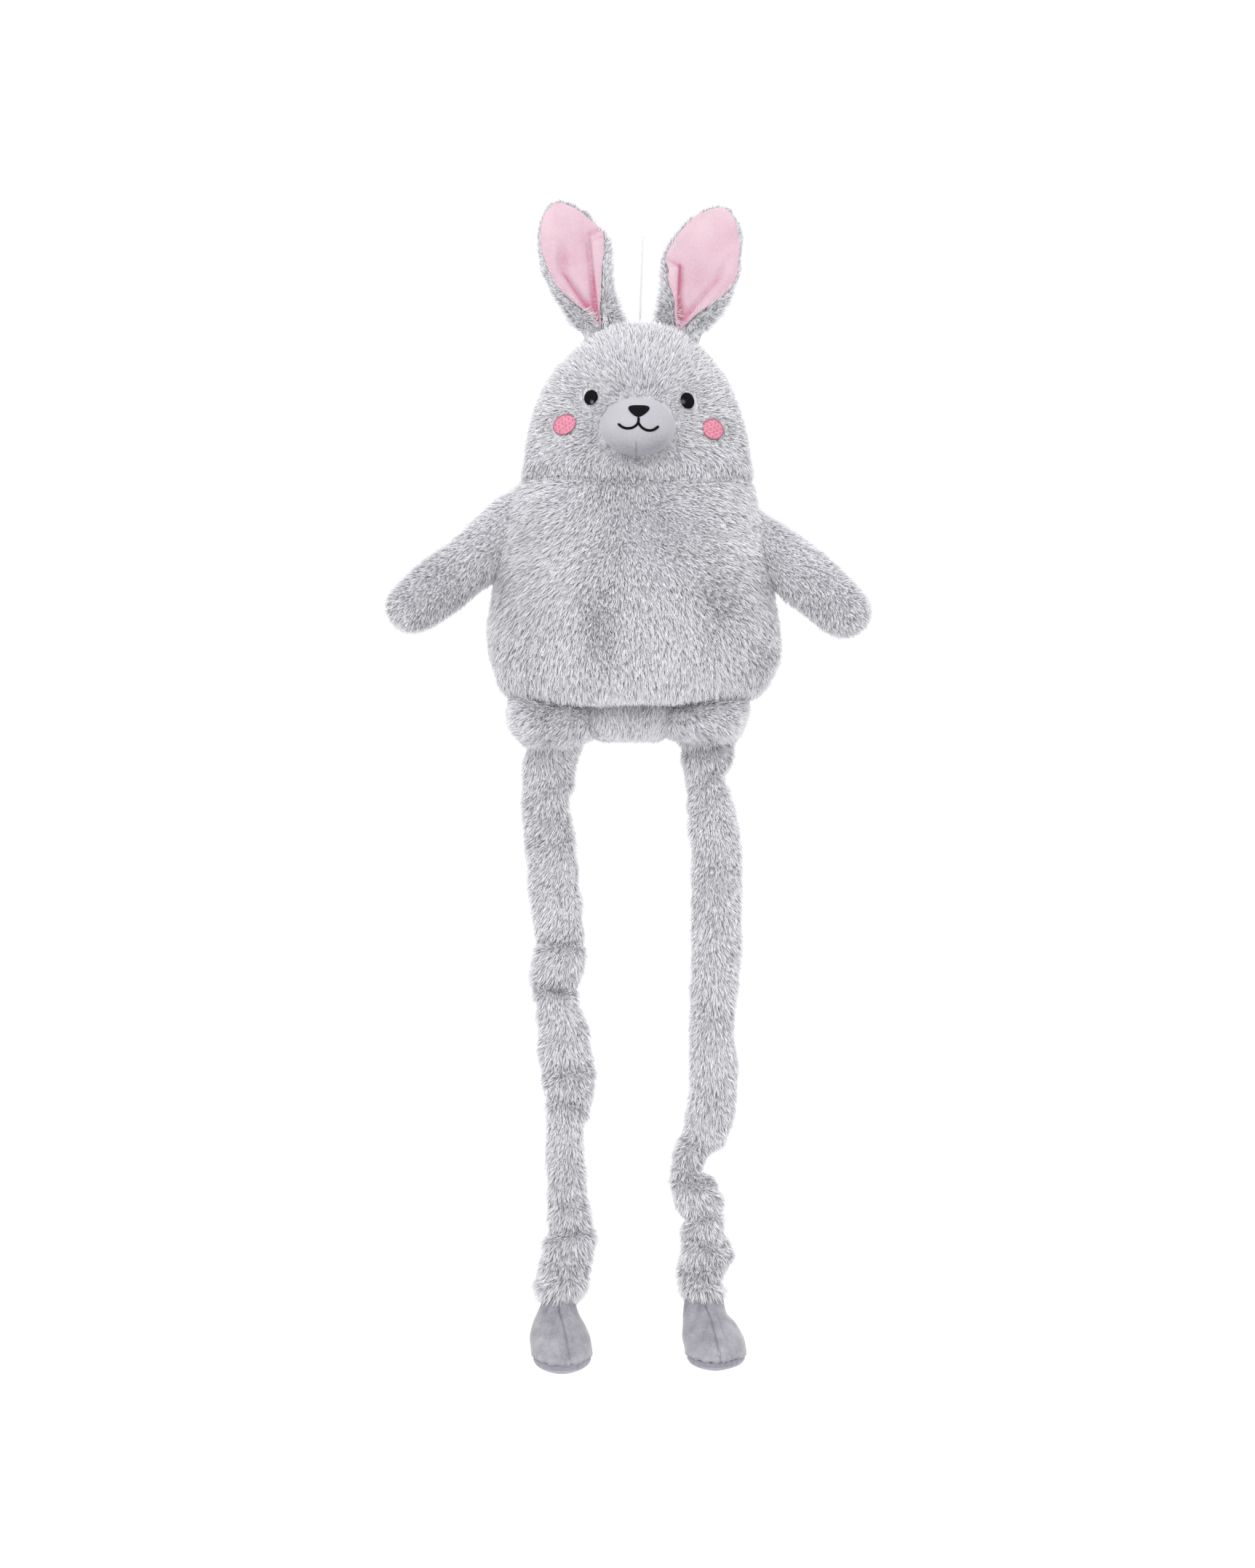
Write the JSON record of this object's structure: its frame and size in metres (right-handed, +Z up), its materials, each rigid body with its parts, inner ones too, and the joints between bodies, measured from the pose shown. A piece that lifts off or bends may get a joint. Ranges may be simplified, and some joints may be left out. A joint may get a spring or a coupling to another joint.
{
  "type": "stuffed bunny rabbit",
  "caption": "Long-pile plush rabbit with a dome head, upright lined ears, stuffed body and arms, long limp sleeve legs and small velvet feet, hanging from a crown loop.",
  "frame": {"origin": "top of the hang loop, where a hook holds it", "axes": "+Z up, the face looks towards -Y, +X is the viewer's right"},
  "size_m": [0.4908, 0.189, 1.1936],
  "materials": {
    "fur": "long pile, soft",
    "ear_lining": "short pile, matte",
    "velour": "short pile, soft sheen",
    "velvet": "short pile, soft sheen",
    "black_satin": "satin stitch",
    "pink_satin": "satin stitch",
    "filling": "fibre filling",
    "clear_nylon": "clear thread"
  },
  "bodies": {
    "head": {"head_front_panel": "fur", "head_back_panel": "fur", "head_stuffing": "filling", "muzzle": "velour", "muzzle_stuffing": "filling", "nose": "black_satin", "mouth": "black_satin", "eye_left": "black_satin", "eye_right": "black_satin", "cheek_left": "pink_satin", "cheek_right": "pink_satin", "hang_loop": "clear_nylon"},
    "ear_left": {"ear_left_fur": "fur", "ear_left_lining": "ear_lining"},
    "ear_right": {"ear_right_fur": "fur", "ear_right_lining": "ear_lining"},
    "torso": {"body_front_panel": "fur", "body_back_panel": "fur", "body_stuffing": "filling", "seat_panel": "fur", "hip_left": "fur", "hip_right": "fur"},
    "arm_left": {"arm_left_front": "fur", "arm_left_back": "fur", "arm_left_stuffing": "filling"},
    "arm_right": {"arm_right_front": "fur", "arm_right_back": "fur", "arm_right_stuffing": "filling"},
    "leg_left_upper": {"leg_left_upper": "fur"},
    "leg_left_lower": {"leg_left_lower": "fur"},
    "leg_right_upper": {"leg_right_upper": "fur"},
    "leg_right_lower": {"leg_right_lower": "fur"},
    "foot_left": {"foot_left_outer": "velvet", "foot_left_inner": "velvet", "foot_left_sole": "velvet", "foot_left_stuffing": "filling"},
    "foot_right": {"foot_right_outer": "velvet", "foot_right_inner": "velvet", "foot_right_sole": "velvet", "foot_right_stuffing": "filling"}
  },
  "joints": [
    {"name": "neck", "type": "hinge", "parent": "head", "child": "torso", "pos_m": [0, 0, -0.219], "axis": [1, 0, 0], "range_deg": [-12, 12], "stiffness_Nm_per_rad": 2},
    {"name": "ear_left_fold", "type": "hinge", "parent": "head", "child": "ear_left", "pos_m": [-0.043, 0, -0.0845], "axis": [0.9455, 0, 0.3256], "range_deg": [-25, 60], "stiffness_Nm_per_rad": 0.1},
    {"name": "ear_right_fold", "type": "hinge", "parent": "head", "child": "ear_right", "pos_m": [0.04, 0, -0.084], "axis": [0.9455, 0, -0.3256], "range_deg": [-25, 60], "stiffness_Nm_per_rad": 0.1},
    {"name": "arm_left_raise", "type": "hinge", "parent": "torso", "child": "arm_left", "pos_m": [-0.176, 0, -0.333], "axis": [0, 1, 0], "range_deg": [-30, 75], "stiffness_Nm_per_rad": 0.5},
    {"name": "arm_right_raise", "type": "hinge", "parent": "torso", "child": "arm_right", "pos_m": [0.157, 0, -0.34], "axis": [0, -1, 0], "range_deg": [-30, 75], "stiffness_Nm_per_rad": 0.5},
    {"name": "hip_left_swing", "type": "hinge", "parent": "torso", "child": "leg_left_upper", "pos_m": [-0.096, 0, -0.538], "axis": [-1, 0, 0], "range_deg": [-35, 80]},
    {"name": "knee_left_bend", "type": "hinge", "parent": "leg_left_upper", "child": "leg_left_lower", "pos_m": [-0.083, 0, -0.8], "axis": [1, 0, 0], "range_deg": [-45, 85]},
    {"name": "ankle_left_tilt", "type": "hinge", "parent": "leg_left_lower", "child": "foot_left", "pos_m": [-0.083, 0, -1.088], "axis": [-1, 0, 0], "range_deg": [-35, 35]},
    {"name": "hip_right_swing", "type": "hinge", "parent": "torso", "child": "leg_right_upper", "pos_m": [0.065, 0, -0.538], "axis": [-1, 0, 0], "range_deg": [-35, 80]},
    {"name": "knee_right_bend", "type": "hinge", "parent": "leg_right_upper", "child": "leg_right_lower", "pos_m": [0.071, 0, -0.8], "axis": [1, 0, 0], "range_deg": [-45, 85]},
    {"name": "ankle_right_tilt", "type": "hinge", "parent": "leg_right_lower", "child": "foot_right", "pos_m": [0.072, 0, -1.087], "axis": [-1, 0, 0], "range_deg": [-35, 35]}
  ]
}
